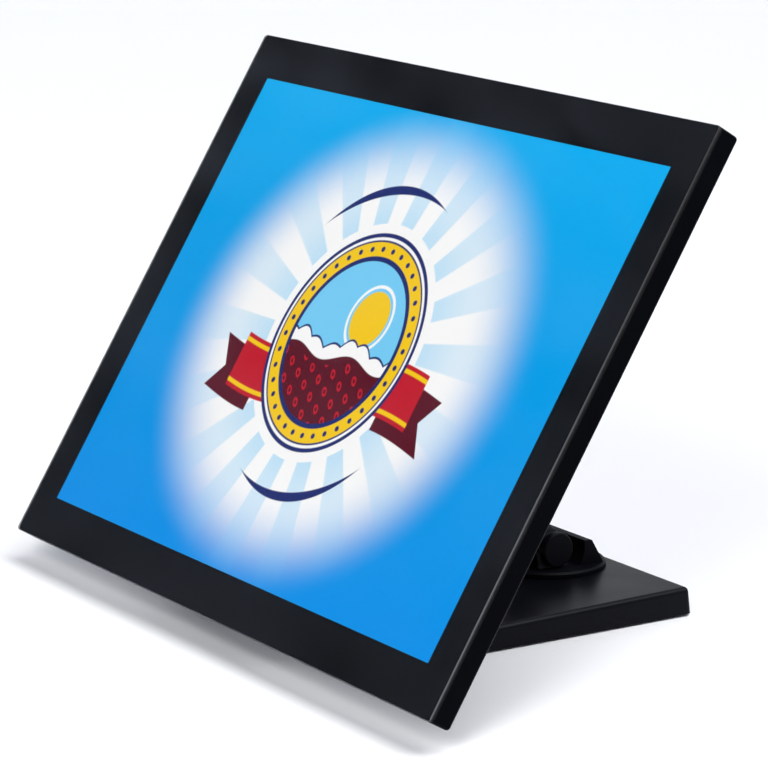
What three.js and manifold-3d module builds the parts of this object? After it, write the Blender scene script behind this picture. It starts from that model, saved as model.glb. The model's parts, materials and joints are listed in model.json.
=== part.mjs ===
// Counter menu light box: an edge-lit film display on a folding stand with two friction hinges.
// Millimetres, +Z up, the display faces -Y, the origin is on the counter under the middle of the whole.

import * as THREE from 'three'
import { mergeGeometries, mergeVertices } from 'three/addons/utils/BufferGeometryUtils.js'
import Module from 'manifold-3d'

const wasm = await Module()
wasm.setup()

// Fits and angles
const gap = 0.3 // clearance between two pieces that touch
const overrun = 1 // how far a cut runs past what it cuts
const quarterTurn = Math.PI / 2
const armLean = THREE.MathUtils.degToRad(40.9) // arm, forward of upright
const faceLean = THREE.MathUtils.degToRad(31.6) // display, back from upright
const fineSides = 28
const plainSides = 18
const smallSides = 16
const screwSides = 10
const cornerSteps = 3
const plainSteps = 2
const fineSteps = 6

// Face of the light box
const filmWidth = 420 // landscape A3
const filmHeight = 297
const filmLap = 5 // border over the film on each side
const sideBorder = 24
const endBorder = 27
const sideWall = 2 // housing wall behind the front panel's edge
const rimBevel = 0.3
const boxCorner = 2.2
const rearEdge = 2
const innerCorner = 0.8

// Layers from the front to the back
const paneThickness = 1.6 // the pane covers the whole face
const paneBevel = 0.3
const maskThickness = 0.5
const filmThickness = 0.5
const diffuserThickness = 2
const guideThickness = 6
const reflectorThickness = 0.5
const rearWall = 2.1
const guideLap = 7 // light guide behind the border
const keeperThickness = 0.8
const keeperWidth = 10
const keeperEdge = 1.8 // keeper's edge to the housing's wall
const magnetThickness = 1.2
const magnetWidth = 9
const magnetLength = 400

// Rails and light strips
const railWall = 1.5
const stripThickness = 1
const stripEdge = 0.4 // board edge to the rail's flange
const chipLength = 3.5
const chipHeight = 3
const chipThickness = 0.8
const chipToGuide = 0.5
const chipCount = 30
const ribWall = 1.5
const ribLength = 300 // moulded rib that backs the panel at each side

// Mounting pad and power compartment on the back
const padMargin = 10.5 // round the bolts
const padThickness = 5
const padCorner = 7
const padBevel = 0.6
const boltPitch = 75
const boltRadius = 2
const boltHead = 3.8
const boltHeadHeight = 2.4
const boltLength = 6.5
const powerWidth = 124
const powerHeight = 50
const powerDepth = 20
const powerDrop = 105 // below the middle of the face
const powerWall = 2
const powerCorner = 5
const lidThickness = 2
const lidEdge = 0.8
const lidBoss = 3.6
const lidBossInset = 4.4
const lidScrewHead = 2.6
const lidScrewHeadHeight = 1.5
const lidScrewRadius = 1.3
const lidScrewLength = 8
const ventWidth = 2
const ventLength = 26
const ventPitch = 5.5
const ventCount = 10

// Driver board
const boardLength = 84
const boardHeight = 36
const boardThickness = 1.6
const boardStandoff = 4
const boardShift = -1 // towards the jack side
const standoffRadius = 2.8
const standoffInset = 4
const pinRadius = 1.2 // staked pins on the standoffs
const pinEnd = 0.8
const capacitorRadius = 4
const capacitorHeight = 9
const coilRadius = 6.5
const coilHeight = 5
const chipCase = 9
const chipCaseHeight = 1.6
const plugBlock = 8
const plugBlockHeight = 6.5
const partSeat = 0.2 // soldered parts sink this far into the board

// Jack for the low-voltage plug
const jackFlange = 6
const jackFlangeThickness = 1.6
const jackRadius = 4.6
const jackBore = 3.2
const jackDepth = 12
const jackFloor = 2
const jackPinRadius = 1.05
const jackPinFree = 1

// Rocker switch
const switchLength = 19
const switchWidth = 12.8
const switchDepth = 12
const bezelLength = 21.4
const bezelWidth = 15
const bezelThickness = 1.6
const bezelCorner = 1.2
const switchPocketDepth = 6.4
const rockerLength = 15.6
const rockerWidth = 10
const rockerRise = 1.6 // middle of the rocker above its pivot
const rockerEdge = 2.6 // thickness at the two ends
const rockerBelly = 3.4 // depth below the pivot
const pocketEndRoom = 0.5
const rockerAngle = THREE.MathUtils.degToRad(9)
const terminalLength = 6
const terminalWidth = 4.8
const terminalThickness = 0.8
const terminalPitch = 7

// Both friction hinges
const hingeRadius = 10.5 // barrel caps and the ends of the arm covers
const axleRadius = 4
const washerRadius = 7.4
const washerThickness = 0.8
const lugThickness = 2.5
const lugRadius = 9.8
const springWasherRadius = 6.8
const springWasherThickness = 0.8
const nutRadius = 6.6
const nutThickness = 2.5
const capWall = 1.2
const capSkin = 2
const capEdge = 1.4

// Arm
const armLength = 144 // hinge axis to hinge axis
const armHalfWidth = 15.9
const armWaist = 8
const armBlend = 9
const armBlendAngle = THREE.MathUtils.degToRad(20)
const coverWall = 1.8
const coverSideWall = 1.7
const coreKnuckle = 6.9
const coreWeb = 4
const clipPin = 2 // pins of the covers that clip through the web
const clipShares = [0.3, 0.7] // places along the arm

// Head bracket
const pivotStandoff = 34 // upper hinge axis behind the housing's back
const bracketMargin = 7.5 // round the bolts
const bracketThickness = 2.5
const bracketCorner = 6
const lugFlare = 4

// Base
const baseWidth = 180
const baseDepth = 223
const baseBackHeight = 15.6
const baseFrontHeight = 11.2
const baseCorner = 4
const baseEdge = 3
const baseFlare = 1.3 // the sides lean out by this much towards the bottom
const baseWall = 2.5
const pedestalRadius = 34.6
const pedestalHeight = 3.45
const pedestalEdge = 1.2
const pedestalSkirt = 3 // stock below the flange, trimmed to the base's slope
const pedestalFromBack = 39.7
const pivotAhead = 8.8 // lower hinge axis ahead of the pedestal's middle
const barrelClearance = 0.7
const hingeGroove = 8 // between the barrel and the block behind it
const blockRise = 3.7 // top of the block above the hinge axis
const blockTopDepth = 5.6
const blockTopDrop = 0.5
const blockSlopeDepth = 8.4
const blockEdge = 1

// Inside and under the base
const footRadius = 8
const footHeight = 2
const footEdge = 0.6
const footInset = 17
const plateThickness = 1.2
const plateCorner = 1.5
const plateRecess = 0.8
const weightThickness = 4.5
const weightMargin = 8 // round the weight, inside the cover
const weightCorner = 3
const baseBracketLength = 60
const baseBracketDepth = 42
const baseBracketThickness = 2.5
const baseBracketCorner = 3
const baseLugFlare = 1.8
const baseBoltHead = 3.4
const baseBoltHeadHeight = 1.6
const baseBoltRadius = 1.8
const baseBoltLength = 5.6
const baseBoltAlong = 14 // before and behind the axle
const baseBoss = 4.5
const baseScrewHead = 3
const baseScrewHeadHeight = 1.2
const baseScrewRadius = 1.5
const baseScrewLength = 9
const baseScrewInset = 30

// Worked-out places, with the face's middle as the origin and Y as the depth behind it
const windowWidth = filmWidth - 2 * filmLap
const windowHeight = filmHeight - 2 * filmLap
const boxWidth = windowWidth + 2 * sideBorder
const boxHeight = windowHeight + 2 * endBorder
const maskFront = paneThickness + gap
const maskBack = maskFront + maskThickness
const rimFront = maskBack + gap
const filmFront = maskBack + gap
const filmBack = filmFront + filmThickness
const diffuserFront = filmBack + gap
const diffuserBack = diffuserFront + diffuserThickness
const guideFront = diffuserBack + gap
const guideBack = guideFront + guideThickness
const reflectorFront = guideBack + gap
const reflectorBack = reflectorFront + reflectorThickness
const trayFloor = reflectorBack + gap
const boxDepth = trayFloor + rearWall
const keeperBack = rimFront + keeperThickness
const magnetFront = keeperBack + gap
const railFront = magnetFront + magnetThickness + gap
const railBack = trayFloor - gap
const guideHalfWidth = windowWidth / 2 + guideLap
const guideHalfHeight = windowHeight / 2 + guideLap
const trayHalfWidth = boxWidth / 2 - sideWall
const trayHalfHeight = boxHeight / 2 - sideWall
const stripInner = guideHalfHeight + chipToGuide + chipThickness
const stripOuter = stripInner + stripThickness
const endRailInner = stripOuter + gap
const endRailOuter = trayHalfHeight - gap
const keeperHalfWidth = trayHalfWidth - keeperEdge
const keeperHalfHeight = trayHalfHeight - keeperEdge
const padSize = boltPitch + 2 * padMargin
const padBack = boxDepth + padThickness
const powerBack = boxDepth + powerDepth
const bracketSize = boltPitch + 2 * bracketMargin
const bracketFront = padBack + gap
const bracketBack = bracketFront + bracketThickness
const pivotDepth = boxDepth + pivotStandoff

// Along the hinge axes, from the middle outwards
const lugInner = armHalfWidth + gap
const lugOuter = lugInner + lugThickness
const knuckleHalf = lugInner - washerThickness - 2 * gap
const springWasherInner = lugOuter + gap
const nutInner = springWasherInner + springWasherThickness + gap
const axleEnd = nutInner + nutThickness
const capInner = lugOuter + gap
const capOuter = axleEnd + gap + capWall
const boreRadius = axleRadius + gap

// Heights and places on the base, whose middle is at y = 0
const plateBottom = footHeight + gap
const baseBottom = plateBottom - plateRecess
const plateTop = plateBottom + plateThickness
const weightBottom = plateTop + gap
const weightTop = weightBottom + weightThickness
const bracketBase = weightTop + gap
const bracketTop = bracketBase + baseBracketThickness
const backEdge = baseDepth / 2
const baseSlope = (baseBackHeight - baseFrontHeight) / baseDepth
const pedestalY = backEdge - pedestalFromBack
const lowerPivotY = pedestalY - pivotAhead
const pedestalTop = topOfBase(pedestalY) + pedestalHeight
const lowerPivotZ = pedestalTop + barrelClearance + hingeRadius

function topOfBase(y) {
  return baseBottom + baseBackHeight - baseSlope * (backEdge - y)
}

// Solids and booleans
function solid(geometry) {
  const bare = geometry.clone()
  bare.deleteAttribute('normal')
  bare.deleteAttribute('uv')
  const merged = mergeVertices(bare)
  const corners = merged.index.array
  const faces = []
  for (let i = 0; i < corners.length; i += 3) {
    const [a, b, c] = [corners[i], corners[i + 1], corners[i + 2]]
    if (a !== b && b !== c && c !== a) faces.push(a, b, c)
  }
  const vertProperties = merged.attributes.position.array
  return new wasm.Manifold(new wasm.Mesh({ numProp: 3, vertProperties, triVerts: Uint32Array.from(faces) }))
}

function join(...geometries) {
  return shaped(geometries.map(solid).reduce((whole, next) => whole.add(next)))
}

function cut(geometry, ...tools) {
  return shaped(tools.map(solid).reduce((whole, tool) => whole.subtract(tool), solid(geometry)))
}

function common(geometry, other) {
  return shaped(solid(geometry).intersect(solid(other)))
}

function shaped(result) {
  const { vertProperties, triVerts } = result.getMesh()
  const geometry = new THREE.BufferGeometry()
  geometry.setAttribute('position', new THREE.BufferAttribute(vertProperties, 3))
  geometry.setIndex(new THREE.BufferAttribute(triVerts, 1))
  return geometry
}

// Several solids that are cut or joined as one
function together(geometries) {
  const bare = geometries.map((geometry) => {
    const copy = geometry.index ? geometry.toNonIndexed() : geometry.clone()
    copy.deleteAttribute('normal')
    copy.deleteAttribute('uv')
    return copy
  })
  return mergeVertices(mergeGeometries(bare))
}

// Forms
function block(x, y, z) {
  const size = [x, y, z].map(([from, to]) => to - from)
  const middle = [x, y, z].map(([from, to]) => (from + to) / 2)
  return new THREE.BoxGeometry(...size).translate(...middle)
}

// A round bar along X, Y or Z, from one place on that axis to another, through (a, b) on the other two
function bar(axis, radius, from, to, a, b, sides = smallSides) {
  const geometry = new THREE.CylinderGeometry(radius, radius, to - from, sides)
  const middle = (from + to) / 2
  if (axis === 'x') return geometry.rotateZ(-quarterTurn).translate(middle, a, b)
  if (axis === 'y') return geometry.translate(a, middle, b)
  return geometry.rotateX(quarterTurn).translate(a, b, middle)
}

function roundedRectangle(width, height, radius) {
  const x = width / 2 - radius
  const y = height / 2 - radius
  const shape = new THREE.Shape()
  shape.absarc(x, y, radius, 0, quarterTurn)
  shape.absarc(-x, y, radius, quarterTurn, 2 * quarterTurn)
  shape.absarc(-x, -y, radius, 2 * quarterTurn, 3 * quarterTurn)
  shape.absarc(x, -y, radius, 3 * quarterTurn, 4 * quarterTurn)
  return shape
}

function extruded(shape, length, curveSegments = plainSteps) {
  return new THREE.ExtrudeGeometry(shape, { depth: length, bevelEnabled: false, curveSegments })
}

// A flat piece parallel to the face, drawn as seen from the front, between two depths
function layer(shape, front, back) {
  return extruded(shape, back - front).translate(0, 0, -back).rotateX(quarterTurn)
}

function layerAt(shape, front, back, x, z) {
  return layer(shape, front, back).translate(x, 0, z)
}

// A profile drawn in Y and Z, extruded along X between two places
function slab(shape, from, to) {
  const turned = new THREE.Matrix4().makeBasis(
    new THREE.Vector3(0, 1, 0),
    new THREE.Vector3(0, 0, 1),
    new THREE.Vector3(1, 0, 0),
  )
  return extruded(shape, to - from, fineSteps).applyMatrix4(turned).translate(from, 0, 0)
}

// A skin through rings of points, with both ends closed
function loft(rings) {
  const count = rings[0].length
  const faces = []
  for (let level = 0; level < rings.length - 1; level += 1) {
    for (let i = 0; i < count; i += 1) {
      const a = level * count + i
      const b = level * count + ((i + 1) % count)
      faces.push(a, b, b + count, a, b + count, a + count)
    }
  }
  const last = (rings.length - 1) * count
  for (let i = 1; i < count - 1; i += 1) {
    faces.push(0, i + 1, i, last, last + i, last + i + 1)
  }
  const geometry = new THREE.BufferGeometry().setFromPoints(rings.flat())
  return geometry.setIndex(faces)
}

// A rounded rectangle of points, narrowed by an inset, at the height that a function of y gives
function ring(width, depth, radius, inset, height) {
  const corner = Math.max(radius - inset, radius / fineSides)
  const points = roundedRectangle(width - 2 * inset, depth - 2 * inset, corner).getPoints(cornerSteps)
  if (points[0].equals(points[points.length - 1])) points.pop()
  return points.map(({ x, y }) => new THREE.Vector3(x, y, height(y)))
}

// A rounded box lofted from the front towards the back: pairs of inset and depth
function boxed(width, height, radius, levels) {
  const rings = levels.map(([inset, depth]) => ring(width, height, radius, inset, () => -depth))
  return loft(rings.reverse()).rotateX(quarterTurn)
}

// Pairs of inset and distance that round an edge over a quarter circle
function roundedEdge(radius, steps = cornerSteps) {
  return Array.from({ length: steps }, (_, i) => {
    const angle = (quarterTurn * (i + 1)) / steps
    return [radius * (1 - Math.cos(angle)), radius * Math.sin(angle)]
  })
}

// A turned piece along X, drawn as pairs of radius and distance from the middle
function turned(profile, sides = fineSides) {
  const points = profile.map(([radius, along]) => new THREE.Vector2(radius, along))
  return new THREE.LatheGeometry(points, sides).rotateZ(-quarterTurn)
}

// A washer on the hinge axle
function washer(outer, from, thickness) {
  const to = from + thickness
  const start = [boreRadius, from]
  return turned([start, [outer, from], [outer, to], [boreRadius, to], start], plainSides)
}

// A pan-head screw with its head's underside at the origin and its shank along -Z
function screw(head, headHeight, radius, length) {
  const dome = headHeight / 3
  const points = [
    [0, -length], [radius, -length], [radius, 0], [head, 0],
    [head, headHeight - dome], [head - dome, headHeight], [0, headHeight],
  ].map(([x, y]) => new THREE.Vector2(x, y))
  return new THREE.LatheGeometry(points, screwSides).rotateX(quarterTurn)
}

// The same screw, driven into the back of the light box
function rearScrew(size, seat, [x, z]) {
  return screw(...size).rotateX(-quarterTurn).translate(x, seat, z)
}

// The four corners of a rectangle about the origin, and their names on the base and on the face
function corners(x, y) {
  return [[x, y], [-x, y], [-x, -y], [x, -y]]
}

const baseCorners = ['back_right', 'back_left', 'front_left', 'front_right']
const faceCorners = ['top_right', 'top_left', 'bottom_left', 'bottom_right']

function finish(colour, roughness, metalness) {
  return new THREE.MeshStandardMaterial({ color: colour, roughness, metalness })
}

const finishes = {
  blackHousing: finish(0x101115, 0.42, 0),
  blackCover: finish(0x1d1e22, 0.5, 0),
  greyCap: finish(0x33353b, 0.5, 0),
  clearPane: finish(0xf2f6f8, 0.06, 0),
  maskInk: finish(0x15171d, 0.35, 0),
  film: finish(0x2fa8ee, 0.4, 0),
  whiteSheet: finish(0xf4f5f2, 0.6, 0),
  clearGuide: finish(0xe6f0f0, 0.1, 0),
  aluminium: finish(0xb9bcc0, 0.4, 1),
  steel: finish(0x8d9196, 0.35, 1),
  blackSteel: finish(0x202226, 0.45, 0.6),
  magnet: finish(0xa9acb0, 0.25, 1),
  boardGreen: finish(0x1d5b3a, 0.5, 0),
  stripWhite: finish(0xeceee8, 0.5, 0),
  washerPlastic: finish(0xd9d6c8, 0.5, 0),
  rubber: finish(0x151515, 0.85, 0),
  switchBlack: finish(0x0c0c0e, 0.35, 0),
}

function piece(group, name, geometry, material) {
  geometry.computeVertexNormals()
  const mesh = new THREE.Mesh(geometry, material)
  mesh.name = name
  group.add(mesh)
}

// Copies of one piece, each named after its place
function pieces(group, name, endings, places, material, make) {
  places.forEach((place, i) => piece(group, `${name}_${endings[i]}`, make(place), material))
}

// Groups: the arm turns in the base, the light box turns on the arm, and its face has its own origin
const lightBoxStand = new THREE.Group()
const base = new THREE.Group()
const arm = new THREE.Group()
const head = new THREE.Group()
const face = new THREE.Group()
lightBoxStand.add(base)
base.add(arm)
arm.add(head)
head.add(face)
arm.position.set(0, lowerPivotY, lowerPivotZ)
arm.rotation.x = armLean
head.position.set(0, 0, armLength)
head.rotation.x = -armLean - faceLean
face.position.set(0, -pivotDepth, 0)

// Base: moulded cover with a sloping top, rounded top edge and sides that lean out
function baseOutside() {
  const top = roundedEdge(baseEdge).map(([inset, rise]) =>
    ring(baseWidth, baseDepth, baseCorner, baseFlare + inset, (y) => topOfBase(y) - baseEdge + rise))
  const shoulder = ring(baseWidth, baseDepth, baseCorner, baseFlare, (y) => topOfBase(y) - baseEdge)
  const bottom = ring(baseWidth, baseDepth, baseCorner, 0, () => baseBottom)
  return loft([bottom, shoulder, ...top])
}

function baseInside() {
  const mouth = ring(baseWidth, baseDepth, baseCorner, baseWall, () => baseBottom - overrun)
  const overPlate = ring(baseWidth, baseDepth, baseCorner, baseWall, () => plateTop + gap)
  const top = ring(baseWidth, baseDepth, baseCorner, baseWall + baseFlare, (y) => topOfBase(y) - baseWall)
  return loft([mouth, overPlate, top])
}

const baseScrewPlaces = corners(baseWidth / 2 - baseScrewInset, baseDepth / 2 - baseScrewInset)

// Slots that let the steel lugs through the cover and the pedestal
function lugSlots() {
  const reach = lugRadius + gap
  return [-1, 1].map((side) => {
    const across = [side * (lugInner - gap), side * (lugOuter + gap)].sort((a, b) => a - b)
    return block(across, [lowerPivotY - reach, lowerPivotY + reach], [bracketTop, lowerPivotZ])
  })
}

function baseCover() {
  const shell = cut(baseOutside(), baseInside())
  const tall = baseBottom + baseBackHeight
  const posts = baseScrewPlaces.map(([x, y]) => bar('z', baseBoss, weightTop + gap, tall, x, y))
  const bosses = common(together(posts), baseOutside())
  const screwHoles = baseScrewPlaces.map(([x, y]) =>
    bar('z', baseScrewRadius + gap, weightTop, plateBottom + baseScrewLength, x, y, screwSides))
  return cut(join(shell, bosses), ...screwHoles, ...lugSlots())
}

// Hinge cover: round flange seated on the slope, with the block that stands behind the barrel
function pedestal() {
  const bottom = pedestalTop - pedestalHeight - pedestalSkirt
  const points = [
    [0, bottom], [pedestalRadius, bottom], [pedestalRadius, pedestalTop - pedestalEdge],
    [pedestalRadius - pedestalEdge, pedestalTop], [0, pedestalTop],
  ].map(([radius, height]) => new THREE.Vector2(radius, height))
  return new THREE.LatheGeometry(points, 2 * fineSides).rotateX(quarterTurn).translate(0, pedestalY, 0)
}

function hingeBlock() {
  const hollow = hingeRadius + hingeGroove
  const rise = Math.asin(blockRise / hollow)
  const foot = Math.asin((pedestalTop - gap - lowerPivotZ) / hollow)
  const frontY = lowerPivotY + hollow * Math.cos(rise)
  const rearY = frontY + blockTopDepth
  const topZ = lowerPivotZ + blockRise
  const shape = new THREE.Shape()
  shape.moveTo(rearY + blockSlopeDepth, pedestalTop - gap)
  shape.lineTo(rearY + blockEdge / 2, topZ - blockTopDrop - blockEdge)
  shape.quadraticCurveTo(rearY, topZ - blockTopDrop, rearY - blockEdge, topZ - blockTopDrop + blockEdge / 4)
  shape.lineTo(frontY + blockEdge, topZ - blockEdge / 4)
  shape.quadraticCurveTo(frontY, topZ, frontY, topZ - blockEdge)
  shape.absarc(lowerPivotY, lowerPivotZ, hollow, rise - blockEdge / hollow, foot, true)
  return slab(shape, -capOuter, capOuter)
}

function hingeCover() {
  const raised = baseOutside().translate(0, 0, gap)
  return cut(join(pedestal(), hingeBlock()), raised, ...lugSlots())
}

// A lug seen from the side: a flared root on its plate and a round end at the axle
function lugShape(distance, flare) {
  const shape = new THREE.Shape()
  shape.moveTo(lugRadius + flare, 0)
  shape.quadraticCurveTo(lugRadius, 0, lugRadius, flare)
  shape.lineTo(lugRadius, distance)
  shape.absarc(0, distance, lugRadius, 0, 2 * quarterTurn)
  shape.lineTo(-lugRadius, flare)
  shape.quadraticCurveTo(-lugRadius, 0, -lugRadius - flare, 0)
  return shape
}

function lugPair(distance, flare) {
  const shape = lugShape(distance, flare)
  return [slab(shape, -lugOuter, -lugInner), slab(shape, lugInner, lugOuter)]
}

function lugBores(a, b) {
  return bar('x', boreRadius, -lugOuter - overrun, lugOuter + overrun, a, b, fineSides)
}

const baseBoltPlaces = [[0, lowerPivotY + baseBoltAlong], [0, lowerPivotY - baseBoltAlong]]

function baseHingeBracket() {
  const outline = roundedRectangle(baseBracketLength, baseBracketDepth, baseBracketCorner)
  const plate = extruded(outline, baseBracketThickness).translate(0, lowerPivotY, bracketBase)
  const sunk = baseBracketThickness / 2
  const lugs = lugPair(lowerPivotZ - bracketTop + sunk, baseLugFlare)
    .map((lug) => lug.translate(0, lowerPivotY, bracketTop - sunk))
  const bores = lugBores(lowerPivotY, lowerPivotZ)
  const holes = baseBoltPlaces.map(([x, y]) =>
    bar('z', baseBoltRadius + gap, bracketBase - overrun, bracketTop + overrun, x, y, screwSides))
  return cut(join(plate, ...lugs), bores, ...holes)
}

function baseWeight() {
  const inset = 2 * (baseWall + weightMargin)
  const outline = roundedRectangle(baseWidth - inset, baseDepth - inset, weightCorner)
  const slug = extruded(outline, weightThickness).translate(0, 0, weightBottom)
  const screwHoles = baseScrewPlaces.map(([x, y]) =>
    bar('z', baseScrewRadius + gap, weightBottom - overrun, weightTop + overrun, x, y, screwSides))
  const boltHoles = baseBoltPlaces.map(([x, y]) =>
    bar('z', baseBoltRadius + gap, weightBottom - overrun, weightTop + overrun, x, y, screwSides))
  return cut(slug, ...screwHoles, ...boltHoles)
}

function bottomPlate() {
  const inset = 2 * (baseWall + gap)
  const outline = roundedRectangle(baseWidth - inset, baseDepth - inset, plateCorner)
  const sheet = extruded(outline, plateThickness).translate(0, 0, plateBottom)
  const holes = baseScrewPlaces.map(([x, y]) =>
    bar('z', baseScrewRadius + gap, plateBottom - overrun, plateTop + overrun, x, y, screwSides))
  return cut(sheet, ...holes)
}

function foot() {
  const points = [
    [0, 0], [footRadius - footEdge, 0], [footRadius, footEdge], [footRadius, footHeight], [0, footHeight],
  ].map(([radius, height]) => new THREE.Vector2(radius, height))
  return new THREE.LatheGeometry(points, plainSides).rotateX(quarterTurn)
}

function buildBase() {
  piece(base, 'base_cover', baseCover(), finishes.blackCover)
  piece(base, 'hinge_cover', hingeCover(), finishes.blackCover)
  piece(base, 'base_hinge_bracket', baseHingeBracket(), finishes.blackSteel)
  const boltSize = [baseBoltHead, baseBoltHeadHeight, baseBoltRadius, baseBoltLength]
  pieces(base, 'base_bracket_bolt', ['rear', 'front'], baseBoltPlaces, finishes.steel, ([x, y]) =>
    screw(...boltSize).translate(x, y, bracketTop + gap))
  piece(base, 'base_weight', baseWeight(), finishes.steel)
  piece(base, 'bottom_plate', bottomPlate(), finishes.blackSteel)
  pieces(base, 'bottom_plate_screw', baseCorners, baseScrewPlaces, finishes.steel, ([x, y]) =>
    screw(baseScrewHead, baseScrewHeadHeight, baseScrewRadius, baseScrewLength)
      .rotateX(2 * quarterTurn).translate(x, y, plateBottom - gap))
  const footPlaces = corners(baseWidth / 2 - footInset, baseDepth / 2 - footInset)
  pieces(base, 'foot', baseCorners, footPlaces, finishes.rubber, ([x, y]) =>
    foot().translate(x, y, 0))
  hingeParts(base, 'base', lowerPivotY, lowerPivotZ)
}

// Axle with a round head, washers, nut and end caps; the same on both hinges, about an axis along X
function axle() {
  return turned([
    [0, -axleEnd], [nutRadius, -axleEnd], [nutRadius, -nutInner], [axleRadius, -nutInner],
    [axleRadius, axleEnd], [0, axleEnd],
  ], plainSides)
}

function nut() {
  const hexagon = new THREE.CylinderGeometry(nutRadius, nutRadius, nutThickness, 6)
    .rotateZ(-quarterTurn).translate(nutInner + nutThickness / 2, 0, 0)
  return cut(hexagon, bar('x', boreRadius, nutInner - overrun, axleEnd + overrun, 0, 0))
}

function endCap() {
  const hollow = hingeRadius - capSkin
  const outer = capOuter - capEdge
  const edge = roundedEdge(capEdge).map(([inset, rise]) => [hingeRadius - inset, outer + rise])
  return turned([
    [0, capOuter - capWall], [hollow, capOuter - capWall], [hollow, capInner], [hingeRadius, capInner],
    [hingeRadius, outer], ...edge, [0, capOuter],
  ])
}

function hingeParts(group, name, y, z) {
  const place = (geometry) => geometry.translate(0, y, z)
  const mirrored = (geometry) => geometry.rotateZ(2 * quarterTurn)
  const frictionInner = knuckleHalf + gap
  const friction = () => washer(washerRadius, frictionInner, washerThickness)
  const spring = washer(springWasherRadius, springWasherInner, springWasherThickness)
  piece(group, `${name}_axle`, place(axle()), finishes.steel)
  piece(group, `${name}_axle_nut`, place(nut()), finishes.steel)
  piece(group, `${name}_spring_washer`, place(spring), finishes.steel)
  piece(group, `${name}_friction_washer_right`, place(friction()), finishes.washerPlastic)
  piece(group, `${name}_friction_washer_left`, place(mirrored(friction())), finishes.washerPlastic)
  piece(group, `${name}_cap_right`, place(endCap()), finishes.greyCap)
  piece(group, `${name}_cap_left`, place(mirrored(endCap())), finishes.greyCap)
}

// Arm: a steel core with a knuckle at each end, between two clamshell covers
function armOutline(endRadius, waist) {
  const startY = endRadius * Math.cos(armBlendAngle)
  const startZ = endRadius * Math.sin(armBlendAngle)
  const bendZ = startZ + (startY - waist) / Math.tan(armBlendAngle)
  const shape = new THREE.Shape()
  shape.moveTo(startY, startZ)
  shape.quadraticCurveTo(waist, bendZ, waist, bendZ + armBlend)
  shape.lineTo(waist, armLength - bendZ - armBlend)
  shape.quadraticCurveTo(waist, armLength - bendZ, startY, armLength - startZ)
  shape.absarc(0, armLength, endRadius, -armBlendAngle, 2 * quarterTurn + armBlendAngle)
  shape.lineTo(-startY, armLength - startZ)
  shape.quadraticCurveTo(-waist, armLength - bendZ, -waist, armLength - bendZ - armBlend)
  shape.lineTo(-waist, bendZ + armBlend)
  shape.quadraticCurveTo(-waist, bendZ, -startY, startZ)
  shape.absarc(0, 0, endRadius, 2 * quarterTurn - armBlendAngle, 4 * quarterTurn + armBlendAngle)
  return shape
}

function armCore() {
  const knuckles = [0, armLength].map((z) =>
    bar('x', coreKnuckle, -knuckleHalf, knuckleHalf, 0, z, fineSides))
  const webHalf = armHalfWidth - coverSideWall - gap
  const web = block([-webHalf, webHalf], [-coreWeb / 2, coreWeb / 2], [0, armLength])
  const bores = [0, armLength].map((z) =>
    bar('x', boreRadius, -knuckleHalf - overrun, knuckleHalf + overrun, 0, z, fineSides))
  const clipHoles = clipShares.map((share) =>
    bar('y', clipPin + gap, -coreWeb, coreWeb, 0, armLength * share, screwSides))
  return cut(join(web, ...knuckles), ...bores, ...clipHoles)
}

function armShell() {
  const outside = slab(armOutline(hingeRadius, armWaist), -armHalfWidth, armHalfWidth)
  const inner = armHalfWidth - coverSideWall
  const inside = slab(armOutline(hingeRadius - coverWall, armWaist - coverWall), -inner, inner)
  const ends = [0, armLength].map((z) =>
    bar('x', washerRadius + gap, -armHalfWidth - overrun, armHalfWidth + overrun, 0, z, fineSides))
  const pinEnd = armWaist - coverWall / 2
  const pins = clipShares.map((share) =>
    bar('y', clipPin, -pinEnd, pinEnd, 0, armLength * share, screwSides))
  return join(cut(outside, inside, ...ends), ...pins)
}

function armHalf(shell, from, to) {
  const reach = hingeRadius + overrun
  const across = armHalfWidth + overrun
  return common(shell, block([-across, across], [from, to], [-reach, armLength + reach]))
}

function buildArm() {
  const shell = armShell()
  const reach = hingeRadius + overrun
  piece(arm, 'arm_core', armCore(), finishes.blackSteel)
  piece(arm, 'arm_front_cover', armHalf(shell, -reach, -gap / 2), finishes.blackCover)
  piece(arm, 'arm_rear_cover', armHalf(shell, gap / 2, reach), finishes.blackCover)
}

// Rear housing: a tray with a rounded back edge, a mounting pad and a compartment for the power parts
const padBoltPlaces = corners(boltPitch / 2, boltPitch / 2)
const lidScrewPlaces = corners(powerWidth / 2 - lidBossInset, powerHeight / 2 - lidBossInset)
  .map(([x, z]) => [x, z - powerDrop])
const standoffPlaces = corners(boardLength / 2 - standoffInset, boardHeight / 2 - standoffInset)
  .map(([x, z]) => [x + boardShift, z - powerDrop])
const powerMiddle = boxDepth + powerDepth / 2

function trayOutside() {
  const back = roundedEdge(rearEdge).map(([inset, rise]) => [inset, boxDepth - rearEdge + rise])
  const front = [[rimBevel, rimFront], [0, rimFront + rimBevel]]
  return boxed(boxWidth, boxHeight, boxCorner, [...front, [0, boxDepth - rearEdge], ...back])
}

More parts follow.
